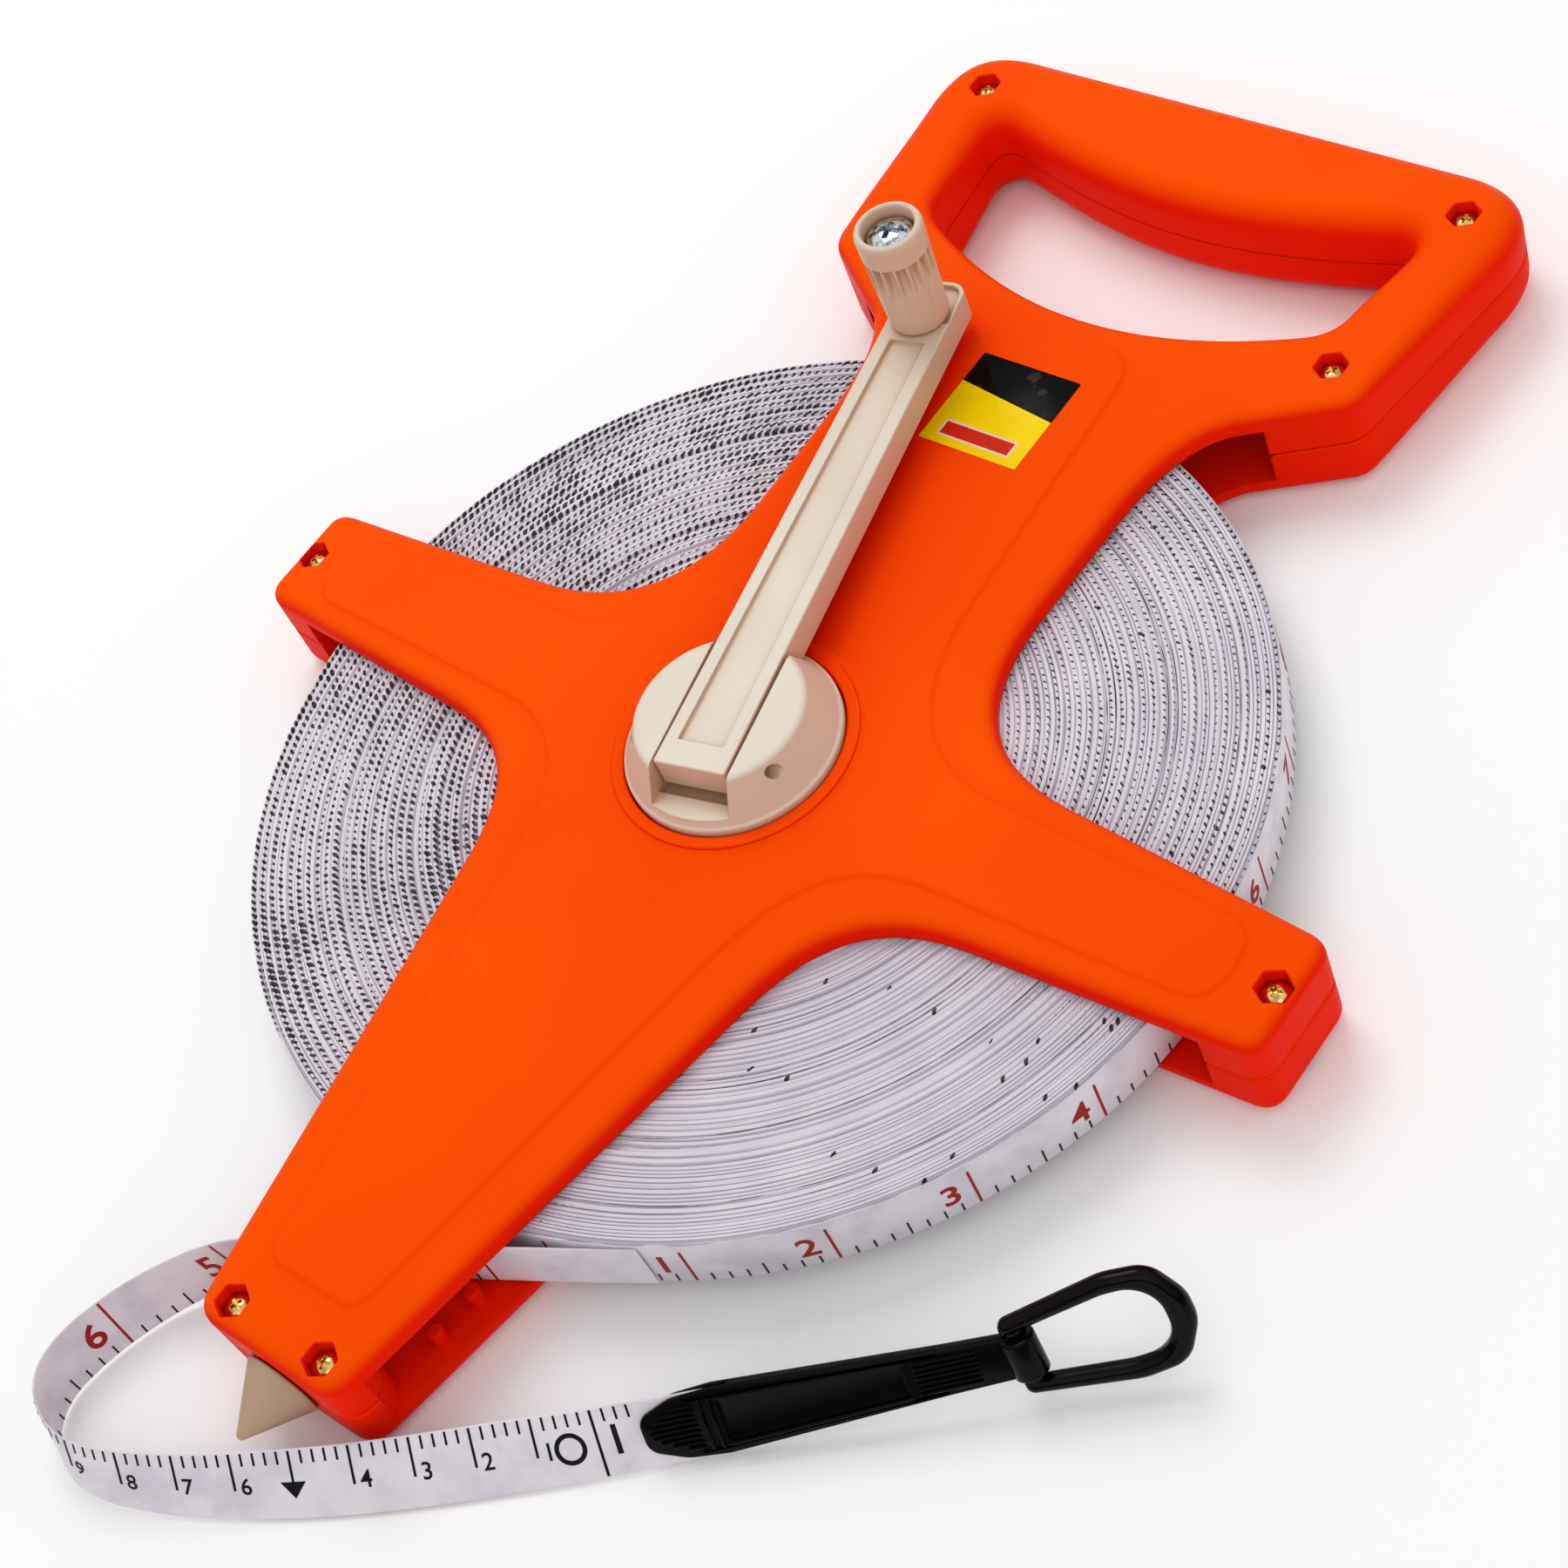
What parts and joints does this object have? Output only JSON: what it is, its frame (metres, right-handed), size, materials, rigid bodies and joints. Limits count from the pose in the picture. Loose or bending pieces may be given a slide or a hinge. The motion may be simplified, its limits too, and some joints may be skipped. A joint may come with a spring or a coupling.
{
  "type": "surveyor tape reel",
  "caption": "Open-frame surveyor's tape reel: orange shells round a wound white tape, with carry handle, ground spike, folding beige crank and a black pull ring.",
  "frame": {"origin": "where the reel axis meets the flat back of the frame", "axes": "+Z out of the front, +Y to the handle, +X to the right seen from the front"},
  "size_m": [0.2619, 0.3596, 0.0604],
  "materials": {
    "orange_shell": "semi-gloss moulded ABS, fine grain",
    "brass_screw": "polished, slightly dulled",
    "spike_plastic": "satin moulded nylon",
    "drum_plastic": "satin moulded",
    "wound_tape": "woven fibreglass edges, matte",
    "steel": "zinc plated",
    "beige_plastic": "semi-gloss moulded ABS",
    "chrome_screw": "bright plated",
    "label": "printed vinyl sticker",
    "tape": "coated fibreglass, satin",
    "black_plastic": "glossy moulded"
  },
  "bodies": {
    "frame": {"rear_shell": "orange_shell", "front_shell": "orange_shell", "frame_screw_1": "brass_screw", "frame_screw_2": "brass_screw", "frame_screw_3": "brass_screw", "frame_screw_4": "brass_screw", "frame_screw_5": "brass_screw", "frame_screw_6": "brass_screw", "frame_screw_7": "brass_screw", "frame_screw_8": "brass_screw", "ground_spike": "spike_plastic", "label_sticker": "label", "tape_lead": "tape", "end_sleeve": "black_plastic"},
    "reel": {"drum": "drum_plastic", "tape_roll": "wound_tape", "tape_anchor_pin": "steel", "disc_screw_1": "steel", "disc_screw_2": "steel", "disc_screw_3": "steel", "crank_disc": "beige_plastic", "crank_pin": "steel"},
    "crank": {"crank_arm": "beige_plastic", "knob_washer": "steel", "knob_screw": "chrome_screw"},
    "knob": {"crank_knob": "beige_plastic"},
    "ring": {"end_ring": "black_plastic"}
  },
  "joints": [
    {"name": "reel_spin", "type": "hinge", "parent": "frame", "child": "reel", "pos_m": [0, 0, 0.0116], "axis": [0, 0, 1], "continuous": true},
    {"name": "crank_fold", "type": "hinge", "parent": "reel", "child": "crank", "pos_m": [0.00208, -0.00917, 0.032], "axis": [0.9751, 0.2215, 0], "range_deg": [0, 160]},
    {"name": "knob_spin", "type": "hinge", "parent": "crank", "child": "knob", "pos_m": [-0.02229, 0.0981, 0.045], "axis": [0, 0, 1], "continuous": true},
    {"name": "ring_swing", "type": "hinge", "parent": "frame", "child": "ring", "pos_m": [0.114, -0.0726, 0.0098], "axis": [0.4211, -0.2691, -0.8662], "range_deg": [-14, 150]}
  ]
}
